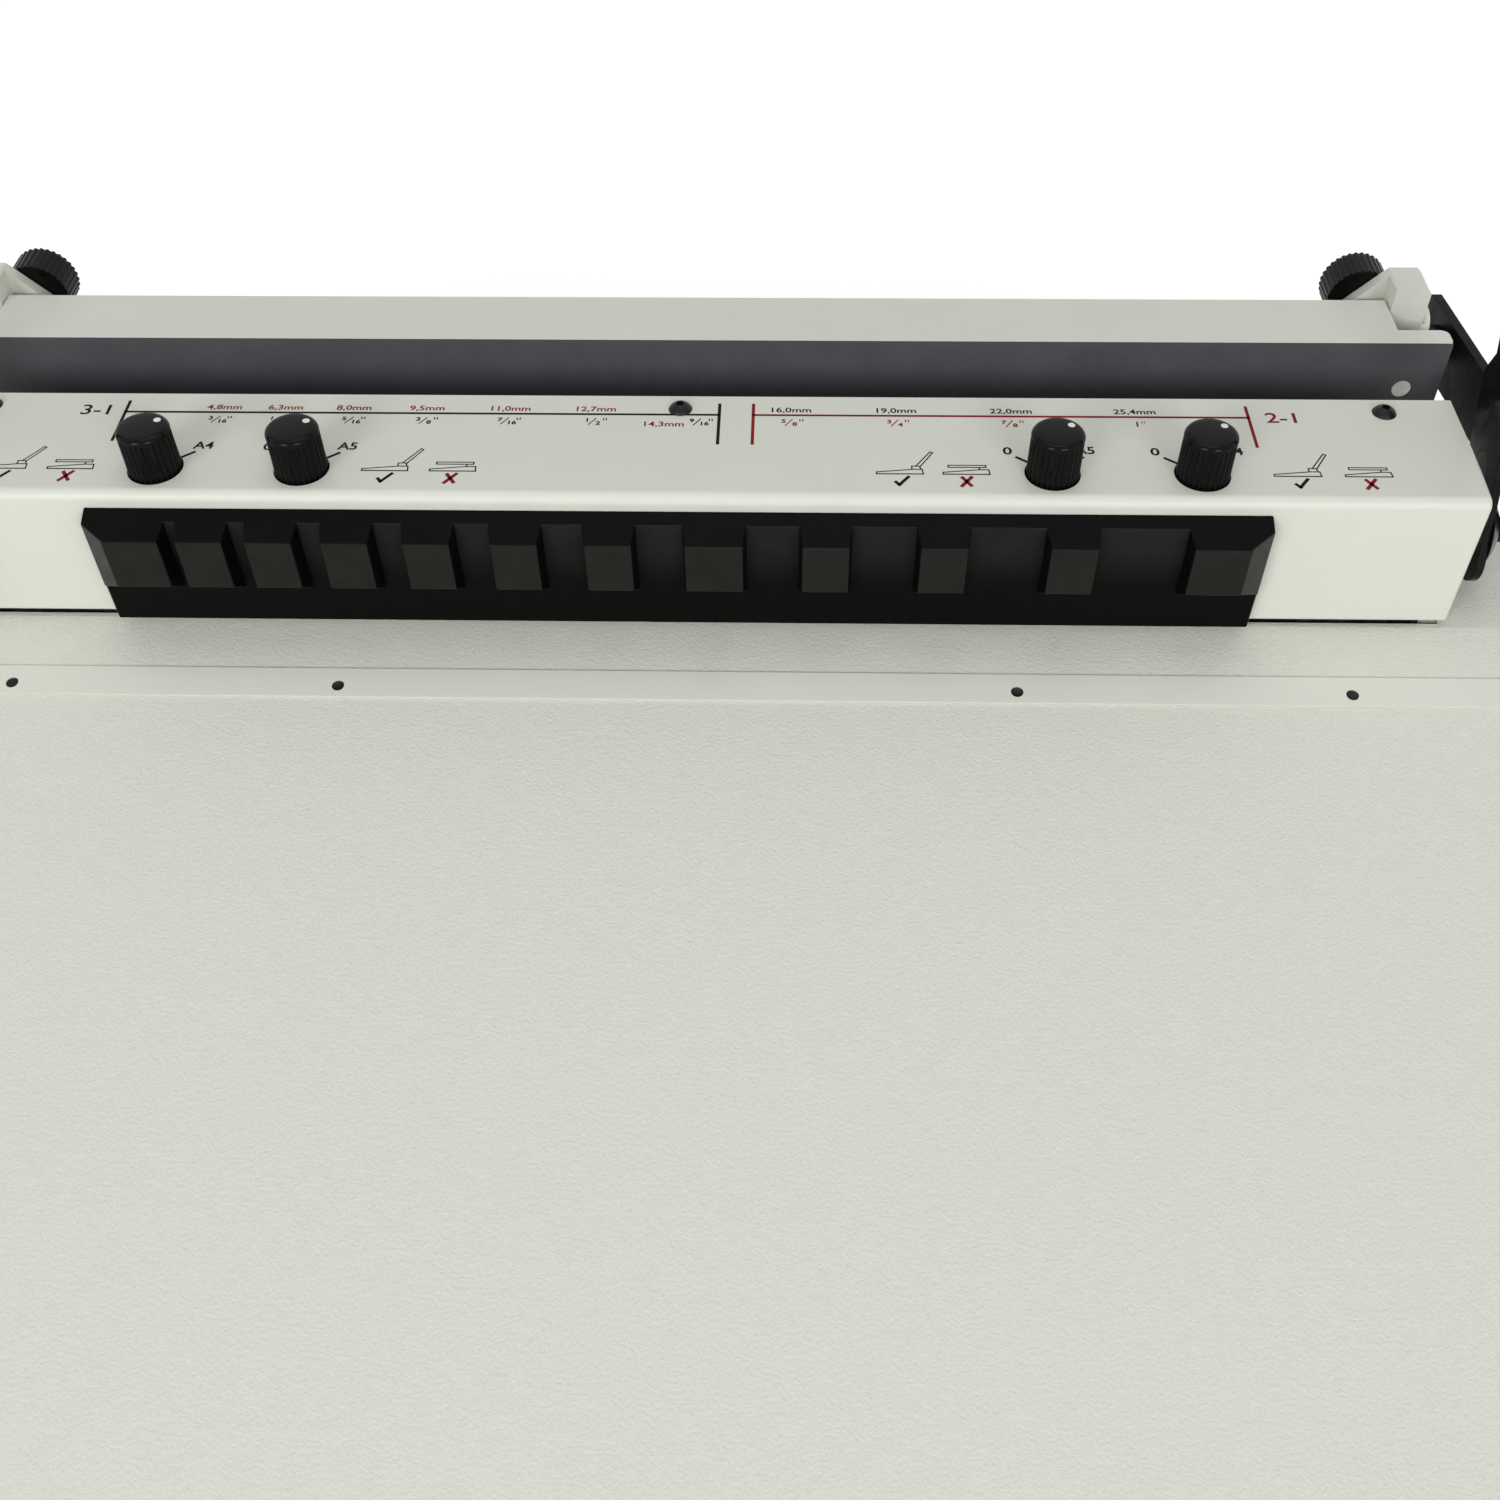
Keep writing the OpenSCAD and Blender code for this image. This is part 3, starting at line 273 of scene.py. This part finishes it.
# places that the edge and face tests below look for
COVER_END = (COVER_X - 0.05) * MM
COVER_BACK = cover_hi.y - 0.2 * MM
COVER_ABOVE_FOOT = cover_lo.z + 0.2 * MM
SHAFT_HOLE = at(0, 21, 17.5)
SHAFT_HOLE_REACH = 12 * MM
SHAFT_HOLE_FACE = 2e-4
BAR_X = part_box("jaw_plate")[1].x
JAW_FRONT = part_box("jaw_plate")[0].y
GAUGE_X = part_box("wire_gauge")[1].x
SLOT_BACK = cover_lo.y - 4.0 * MM
SLOT_DRAFT = 0.9 * MM
END_BLOCK = 12 * MM
END_SLOPE = 8 * MM
BLOCK_FOOT = cover_lo.z + 18.5 * MM
UNDERSIDE_FALL = 0.85


def at_shaft_hole(face):
    """A small face of the hole for the drive shaft in the cover's end panel."""
    off = face.calc_center_median() - SHAFT_HOLE
    return off.yz.length < SHAFT_HOLE_REACH and face.calc_area() < SHAFT_HOLE_FACE


def on_cover_outside(edge):
    """Edges where the cover's end panels meet its top and bend."""
    return (all(abs(v.co.x) > COVER_END and v.co.y < COVER_BACK and v.co.z > COVER_ABOVE_FOOT
                for v in edge.verts)
            and sum(abs(f.normal.x) > 0.9 for f in edge.link_faces) == 1
            and not any(at_shaft_hole(f) for f in edge.link_faces))


def on_cover_corner(edge):
    """The upright edges of the cover's front, and the foot of each end panel just behind them."""
    if not all(abs(v.co.x) > COVER_END for v in edge.verts):
        return False
    at_front = [v.co.y < cover_lo.y + 0.05 * MM for v in edge.verts]
    at_foot = [v.co.z < cover_lo.z + 0.05 * MM for v in edge.verts]
    return all(at_front) or (all(at_foot) and any(at_front))


def anything(edge):
    return True


def end_corner(edge):
    """Edges along Y at the two ends of the closing bar and its jaw."""
    d = edge.verts[0].co - edge.verts[1].co
    return abs(d.y) > 0.95 * d.length and all(abs(v.co.x) > BAR_X - 0.2 * MM for v in edge.verts)


def gauge_shape(bm):
    """Draws the gauge's slots in towards their backs, and slopes the blocks' undersides."""
    bm.normal_update()
    for v in bm.verts:
        sides = [f.normal.x for f in v.link_faces if abs(f.normal.x) > 0.9]
        if sides and abs(v.co.y - SLOT_BACK) < SAME_PLACE and abs(v.co.x) < GAUGE_X - END_BLOCK:
            v.co.x += math.copysign(SLOT_DRAFT, sides[0])
    front = min(v.co.y for v in bm.verts)
    for v in bm.verts:
        if abs(v.co.z - BLOCK_FOOT) < SAME_PLACE:
            v.co.z -= UNDERSIDE_FALL * (v.co.y - front)


def gauge_painted_light_faces(face):
    """The blocks' fronts are 1 and the two end slopes 3, both lightened by painted reflection; the plane behind
    the slots is 2, darkened towards its foot by painted shade; all other sides are 0.
    """
    middle = face.calc_center_median()
    if abs(face.normal.x) > 0.35 and face.normal.y < -0.35 and abs(middle.x) > GAUGE_X - END_SLOPE:
        return 3
    if face.normal.y > -0.6 or face.normal.z > 0.5:
        return 0
    return 1 if middle.y < SLOT_BACK - MM else 2


def jaw_faces(face):
    """The ground front is 0, all other sides are 1."""
    return 0 if face.normal.y < -0.9 else 1


def jaw_rim(edge):
    """Edges round the jaw's front."""
    return all(v.co.y < JAW_FRONT + 1e-6 for v in edge.verts) and edge.calc_length() > MM


rounded("housing_cover", [(1.4, lambda e: on_cover_outside(e) or on_cover_corner(e))])
# the gauge's block fronts and end slopes carry painted reflection, the plane behind its slots painted shade
# towards its foot
rounded("wire_gauge", [(0.5, lambda e: e.is_convex and long_edge(e))], shape=gauge_shape,
        finishes=[FINISH["black_plastic"], GAUGE_FACE_PAINTED_REFLECTION, GAUGE_BACK_PAINTED_SHADE, GAUGE_END_PAINTED_REFLECTION], paint=gauge_painted_light_faces)
for side in ("left", "right"):
    rounded("bracket_" + side, [(1.1, outer_edge)])
    rounded("handle_arm_" + side, [(0.45, anything)], segments=2)
    rounded("link_" + side, [(0.4, anything)], segments=2, finishes=[FINISH["black_plastic"]])
rounded("closing_bar", [(1.6, end_corner), (0.45, outer_edge)])
rounded("jaw_plate", [(0.9, end_corner), (0.5, jaw_rim)],
        finishes=[FINISH["dark_steel"], FINISH["cream_smooth"]], paint=jaw_faces)
rounded("base_shell", [(0.8, long_edge)])
rounded("side_stop", [(0.5, long_edge)])
rounded("handle_grip", [(2.0, anything)])
rounded("rubber_feet", [(1.0, anything)])
rounded("chip_tray", [(0.5, long_edge)], segments=2)
rounded("bottom_plate", [(0.5, anything)], segments=2)


# return springs: each a copy of its CAD coil, standing on its seat

for side in ("left", "right"):
    node = "return_spring_" + side
    bm = bmesh.new()
    bm.from_mesh(NODES[node].data)
    coil = new_piece(node + "_coil", bm, [FINISH[SLOT_OF[node]]], BODY_OF[node])
    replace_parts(coil, node)
    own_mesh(coil)


# dark discs down in the holes of the table's rail: painted shade, where the holes open into the dark inside of
# the base

SLOPE = math.radians(10.53)
THROAT = 2
RAIL_HOLES = (-95.0, 95.0, -187.5, 187.5)
RAIL_MIDDLE = -23.83
HOLE_SIDES = 24
HOLE_ROWS = ((0.25, -0.02), (0.9, 0.0), (1.5, 0.08), (1.72, 0.3))  # radius, height
HOLE_LIFT = 0.05


def on_table(x, down, up):
    """A point at a distance along the sloped table and a height above it, in millimetres."""
    return at(x, down * math.cos(SLOPE) - up * math.sin(SLOPE),
              -THROAT + down * math.sin(SLOPE) + up * math.cos(SLOPE))


bm = bmesh.new()
for x in RAIL_HOLES:
    rings = []
    for r, n in HOLE_ROWS:
        turns = [2 * math.pi * i / HOLE_SIDES for i in range(HOLE_SIDES)]
        rings.append([bm.verts.new(on_table(x + r * math.cos(a), RAIL_MIDDLE + r * math.sin(a), n + HOLE_LIFT))
                      for a in turns])
    bm.faces.new(rings[0])
    for inner, outer in zip(rings, rings[1:]):
        strip(bm, outer, inner)
bm.normal_update()
# the dark discs are painted shade inside the holes
new_piece("rail_hole_painted_shade", bm, [FINISH["black_screw"]], "frame")


# selector knobs: fluted skirt, groove, domed cap and its pointer dot

KNOB_FLUTES = 28
KNOB_STEPS = 8
FLUTE_DEPTH = 0.5
SKIRT_BELOW_TOP = 2.05
KNOB_RIM = 1.5
KNOB_CROWN = 0.35
RIM_ANGLES = (0, 12, 24, 36, 48, 60, 72, 82)
CROWN_RADII = [4.6, 3.2, 2.0, 0.9]
MARK_ANGLE = 52
DOT_OFF_AXIS = 4.55
DOT_SIDES = 20
DOT_EDGE = 1.0
DOT_RADII = (0.4, 0.7, 0.97, 1.02)
DOT_LIFT = 0.05


def cap_height(r, radius, top):
    """Height of the crowned cap at distance r from its axis, in millimetres."""
    flat = radius - KNOB_RIM
    if r <= flat:
        return top - KNOB_CROWN * (r / radius) ** 2
    edge = top - KNOB_CROWN * (flat / radius) ** 2 - KNOB_RIM
    return edge + math.sqrt(max(0.0, KNOB_RIM ** 2 - (r - flat) ** 2))


def knob_profile(low, top, radius, cap_r):
    """Rows from the knob's foot to near its tip: height, radius and depth of the flutes there."""
    skirt = top - SKIRT_BELOW_TOP
    rows = [(low, radius - 0.5, 0.0), (low, radius - 0.1, FLUTE_DEPTH), (low + 1, radius, FLUTE_DEPTH)]
    rows += [(low + 1 + (skirt - low - 1.4) * k / 4, radius - 0.1 * k / 4, FLUTE_DEPTH) for k in range(1, 5)]
    rows += [(skirt - 0.15, radius - 0.14, 0.42), (skirt, radius - 0.25, 0.25),
             (skirt + 0.03, radius - 0.5, 0.0), (skirt + 0.15, radius - 0.5, 0.0),
             (skirt + 0.18, cap_r - 0.12, 0.0), (skirt + 0.28, cap_r, 0.0)]
    rim = [cap_r - KNOB_RIM + KNOB_RIM * math.cos(math.radians(a)) for a in RIM_ANGLES]
    return rows + [(cap_height(r, cap_r, top), r, 0.0) for r in rim + CROWN_RADII]


def knob(node, body):
    lo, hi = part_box(node)
    cx, cy = (lo.x + hi.x) / 2, (lo.y + hi.y) / 2
    low, top = (lo.z - cover_lo.z) / MM, (hi.z - cover_lo.z) / MM
    radius = (hi.x - lo.x) / 2 / MM
    cap_r = radius - 0.05
    bm = bmesh.new()
    count = KNOB_FLUTES * KNOB_STEPS
    rings = []
    for z, r, depth in knob_profile(low, top, radius, cap_r):
        ring = []
        for i in range(count):
            a = 2 * math.pi * i / count
            wave = 0.5 + 0.5 * math.cos(KNOB_FLUTES * a)
            q = (r - depth * wave) * MM
            ring.append(bm.verts.new((cx + q * math.cos(a), cy + q * math.sin(a), cover_lo.z + z * MM)))
        rings.append(ring)
    for below, above in zip(rings, rings[1:]):
        strip(bm, below, above)
    tip = bm.verts.new((cx, cy, cover_lo.z + top * MM))
    for i in range(count):
        bm.faces.new((rings[-1][i], rings[-1][(i + 1) % count], tip))
    bm.faces.new(list(reversed(rings[0])))
    bm.normal_update()
    made = new_piece(node + "_fluted", bm, [KNOB_BLACK], body, sharp=50)
    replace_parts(made, node)
    # the dot follows the dome, towards the mark on the right
    bm = bmesh.new()
    turn = math.radians(MARK_ANGLE)
    mx, my = DOT_OFF_AXIS * math.sin(turn), DOT_OFF_AXIS * math.cos(turn)
    rings = []
    for r in DOT_RADII:
        ring = []
        for i in range(DOT_SIDES):
            a = 2 * math.pi * i / DOT_SIDES
            x, y = mx + r * math.cos(a), my + r * math.sin(a)
            z = cap_height(math.hypot(x, y), cap_r, top) + (DOT_LIFT if r < DOT_EDGE else -DOT_LIFT)
            ring.append(bm.verts.new((cx + x * MM, cy + y * MM, cover_lo.z + z * MM)))
        rings.append(ring)
    bm.faces.new(rings[0])
    for inner, outer in zip(rings, rings[1:]):
        strip(bm, outer, inner)
    bm.normal_update()
    new_piece(node + "_dot", bm, [DOT_WHITE], body)


KNOBS = (("a4_left", "A4"), ("a5_left", "A5"), ("a5_right", "A5"), ("a4_right", "A4"))
for mark, words in KNOBS:
    knob("knob_" + mark, "selector_" + mark)


# prints on the cover: two inks, each one flat mesh just above the paint

INK_Z = COVER_TOP + 0.04


def stroke(bm, points, width):
    """A polyline of a given width, as quads, in millimetres on the cover's top."""
    for (x0, y0), (x1, y1) in zip(points, points[1:]):
        d = Vector((x1 - x0, y1 - y0)).normalized() * width / 2
        n = Vector((-d.y, d.x))
        corners = [(x0 - d.x + n.x, y0 - d.y + n.y), (x0 - d.x - n.x, y0 - d.y - n.y),
                   (x1 + d.x - n.x, y1 + d.y - n.y), (x1 + d.x + n.x, y1 + d.y + n.y)]
        bm.faces.new([bm.verts.new(at(x, y, INK_Z)) for x, y in corners])


def lettering(bm, words, x, y, size, width=1.17, bold=0.02):
    """Generic figures centred on x with their base line at y."""
    curve = bpy.data.curves.new("words", "FONT")
    curve.body, curve.size, curve.align_x, curve.resolution_u = words, size, "CENTER", 3
    curve.offset = bold * size
    holder = bpy.data.objects.new("words", curve)
    scene.collection.objects.link(holder)
    bpy.context.view_layer.update()
    mesh = bpy.data.meshes.new_from_object(holder.evaluated_get(bpy.context.evaluated_depsgraph_get()))
    mesh.transform(Matrix.Translation(at(x, y, INK_Z)) @ Matrix.Diagonal((MM * width, MM, MM, 1)))
    bm.from_mesh(mesh)
    bpy.data.objects.remove(holder)
    bpy.data.curves.remove(curve)
    bpy.data.meshes.remove(mesh)


def fraction(bm, top, bottom, x, y):
    """A slanted fraction of an inch, its upper edge at y."""
    lettering(bm, top, x - 1.9, y - 1.6, 2.3, 1.2, 0.03)
    stroke(bm, [(x - 1.4, y - 2.9), (x + 0.5, y - 0.1)], 0.32)
    lettering(bm, bottom, x + 0.85 + 0.35 * len(bottom), y - 3.0, 2.3, 1.2, 0.03)
    for dx in (2.3, 3.1):
        tick_x = x + dx + 0.35 * len(bottom)
        stroke(bm, [(tick_x, y - 0.8), (tick_x, y - 0.1)], 0.34)


LINE_Y = 36.9
LINE_ENDS = (41.8, 23.7)
LINE_WIDTH = 0.85
TICK_WIDTH = 0.9
FIGURE_SIZE = 3.15
FIGURE_BOLD = 0.014
RATIO_SIZE = 6.5
MARK_SIZE = 4.5
INCH_X = 128.0
SIGN_Y = 10.7
SIGN_LINE = 0.36
CHECK_LINE = 0.95
CROSS_LINE = 1.05
black, red = bmesh.new(), bmesh.new()
for ink, x0, x1 in ((black, -158.0, 11.1), (red, 20.7, 159.4)):
    stroke(ink, [(x0, LINE_Y), (x1, LINE_Y)], LINE_WIDTH)
    for x in (x0, x1):
        stroke(ink, [(x, y) for y in LINE_ENDS], TICK_WIDTH)
MILLIMETRES = ((-130.0, "4,8"), (-112.5, "6,3"), (-92.9, "8,0"), (-72.0, "9,5"), (-48.4, "11,0"),
               (-24.1, "12,7"), (31.2, "16,0"), (60.8, "19,0"), (93.3, "22,0"), (INCH_X, "25,4"))
INCHES = ((-130.9, "3", "16"), (-113.5, "1", "4"), (-92.9, "5", "16"), (-71.9, "3", "8"),
          (-48.8, "7", "16"), (-24.1, "1", "2"), (5.4, "9", "16"), (31.2, "5", "8"), (60.8, "3", "4"),
          (92.8, "7", "8"))
for x, words in MILLIMETRES:
    lettering(red if x < 20 else black, words + "mm", x, LINE_Y + 1.4, FIGURE_SIZE, bold=FIGURE_BOLD)
lettering(red, "14,3mm", -4.5, 31.4, FIGURE_SIZE, bold=FIGURE_BOLD)
for x, top, bottom in INCHES:
    fraction(black if x < 20 else red, top, bottom, x, LINE_Y - 1.9)
lettering(red, "1", INCH_X, LINE_Y - 4.4, 3.2)
for dx in (1.4, 2.1):
    stroke(red, [(INCH_X + dx, LINE_Y - 2.8), (INCH_X + dx, LINE_Y - 2.1)], 0.25)
lettering(black, "3-1", -166.2, 35.6, RATIO_SIZE, bold=0.008)
lettering(red, "2-1", 169.0, 34.7, RATIO_SIZE, bold=0.012)
for mark, words in KNOBS:
    lo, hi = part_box("knob_" + mark)
    x, y = (lo.x + hi.x) / 2 / MM, ((lo.y + hi.y) / 2 - cover_lo.y) / MM
    for a in (MARK_ANGLE, -53):
        s, c = math.sin(math.radians(a)), math.cos(math.radians(a))
        stroke(black, [(x + 8.0 * s, y + 8.0 * c), (x + 11.3 * s, y + 11.3 * c)], TICK_WIDTH)
    lettering(black, words, x + (10.9 if x < 0 else 9.9), y + 8.6, MARK_SIZE, 1.05)
    lettering(black, "0", x - 11.4, y + 8.2, MARK_SIZE)


def lever_sign(x, y, up):
    """A small sign: the machine from the side with its lever up, ticked, or down, crossed."""
    def draw(ink, width, *points):
        stroke(ink, [(x + dx, y + dy) for dx, dy in points], width)

    draw(black, 0.42, (-6.3, 0), (6.3, 0))
    draw(black, SIGN_LINE, (-6.3, 0), (-6.3, 0.8), (3.6, 2.0), (6.1, 2.0), (6.3, 0))
    if up:
        draw(black, SIGN_LINE, (3.3, 2.0), (3.3, 3.4), (5.4, 3.4), (5.8, 2.0))
        draw(black, SIGN_LINE, (4.4, 3.4), (8.6, 9.8), (9.3, 9.4), (5.5, 3.1))
        draw(black, CHECK_LINE, (-1.2, -3.5), (-0.3, -4.7), (2.2, -1.3))
    else:
        draw(black, SIGN_LINE, (-4.8, 3.0), (5.4, 3.0), (5.4, 3.9), (-4.8, 3.9), (-4.8, 3.0))
        draw(black, SIGN_LINE, (3.6, 2.0), (3.6, 3.0))
        draw(red, CROSS_LINE, (-1.5, -5.0), (1.2, -1.3))
        draw(red, CROSS_LINE, (-1.2, -1.5), (0.9, -4.8))


SIGNS = ((-184.6, True), (-166.0, False), (-79.3, True), (-60.7, False), (61.0, True), (79.0, False),
         (168.0, True), (187.0, False))
for x, up in SIGNS:
    lever_sign(x, SIGN_Y, up)
new_piece("print_black", black, [INK_BLACK], "frame")
new_piece("print_red", red, [INK_RED], "frame")


# camera at the photograph's place

SENSOR = 36.0
FOCAL_SHARE = 1634.70 / 1500  # focal length over the picture's width, both in pixels
camera = bpy.data.cameras.new("camera")
camera.sensor_width = SENSOR
camera.lens = SENSOR * FOCAL_SHARE
camera.clip_start, camera.clip_end = 0.01, 50.0
holder = bpy.data.objects.new("camera", camera)
scene.collection.objects.link(holder)
right = Vector((0.9996673, 0.0236012, -0.0104032))
down = Vector((0.0103733, -0.7371842, -0.6756122))
ahead = Vector((-0.0236143, 0.6752795, -0.7371838))
pose = Matrix((right, -down, -ahead)).transposed().to_4x4()
pose.translation = at(31.648, -344.072, 319.068)
holder.matrix_world = pose
scene.camera = holder


# floor, world and lamps

FLOOR_HALF = 6.0
FLOOR_DROP = 0.0002
FLOOR_GLOW = 0.55
AMBIENT = 0.48
WHITE = (1, 1, 1, 1)
floor_bm = bmesh.new()
bmesh.ops.create_grid(floor_bm, x_segments=8, y_segments=8, size=FLOOR_HALF)
floor_mesh = bpy.data.meshes.new("floor")
floor_bm.to_mesh(floor_mesh)
floor_bm.free()
floor = bpy.data.objects.new("floor", floor_mesh)
floor.location.z = -FLOOR_DROP
scene.collection.objects.link(floor)


def seen_ray(tree):
    """1 for the rays that show the background: straight from the camera, mirrored or seen through."""
    path = tree.nodes.new("ShaderNodeLightPath")
    total = add(tree, "ShaderNodeMath", {0: path.outputs["Is Camera Ray"],
                                         1: path.outputs["Is Glossy Ray"]}, operation="ADD")
    total = add(tree, "ShaderNodeMath", {0: total.outputs[0], 1: path.outputs["Is Transmission Ray"]},
                operation="ADD", use_clamp=True)
    return total.outputs[0]


made, tree, shader = graph("floor_pale")
coords = tree.nodes.new("ShaderNodeTexCoord").outputs["Object"]
drift = noise(tree, coords, 1.5)
pale = blend(tree, drift, (0.72, 0.72, 0.715, 1), (0.75, 0.75, 0.75, 1))
tree.links.new(pale, shader.inputs["Base Color"])
shader.inputs["Roughness"].default_value = 0.9
shader.inputs["Specular IOR Level"].default_value = 0.0
shader.inputs["Emission Color"].default_value = WHITE
glow = add(tree, "ShaderNodeMath", {0: seen_ray(tree), 1: FLOOR_GLOW}, operation="MULTIPLY")
tree.links.new(glow.outputs[0], shader.inputs["Emission Strength"])
floor_mesh.materials.append(made)

world = bpy.data.worlds.new("studio")
world.use_nodes = True
scene.world = world
tree = world.node_tree
tree.nodes.clear()
out = tree.nodes.new("ShaderNodeOutputWorld")
ambient = add(tree, "ShaderNodeBackground", {"Color": WHITE, "Strength": AMBIENT})
white = add(tree, "ShaderNodeBackground", {"Color": WHITE, "Strength": 1.0})
mixed = add(tree, "ShaderNodeMixShader", {0: seen_ray(tree), 1: ambient.outputs[0], 2: white.outputs[0]})
tree.links.new(mixed.outputs[0], out.inputs["Surface"])


def lamp(name, place, aim, power, size):
    """A rectangular lamp at a place in metres, turned to aim, with its power in watts."""
    data = bpy.data.lights.new(name, "AREA")
    data.shape = "RECTANGLE"
    data.size, data.size_y = size
    data.energy = power
    made = bpy.data.objects.new(name, data)
    made.location = place
    made.rotation_mode = "QUATERNION"
    made.rotation_quaternion = (Vector(aim) - Vector(place)).to_track_quat("-Z", "Y")
    scene.collection.objects.link(made)


lamp("front_left", (-0.95, -1.65, 1.0), (0.0, 0.05, 0.12), 16.6, (0.8, 0.6))
lamp("front_right", (0.85, -1.75, 0.95), (0.0, 0.05, 0.12), 14.4, (0.8, 0.6))
lamp("overhead", (0.1, 0.5, 2.2), (0.0, 0.05, 0.1), 6.8, (1.4, 1.0))

scene.view_settings.view_transform = "Standard"
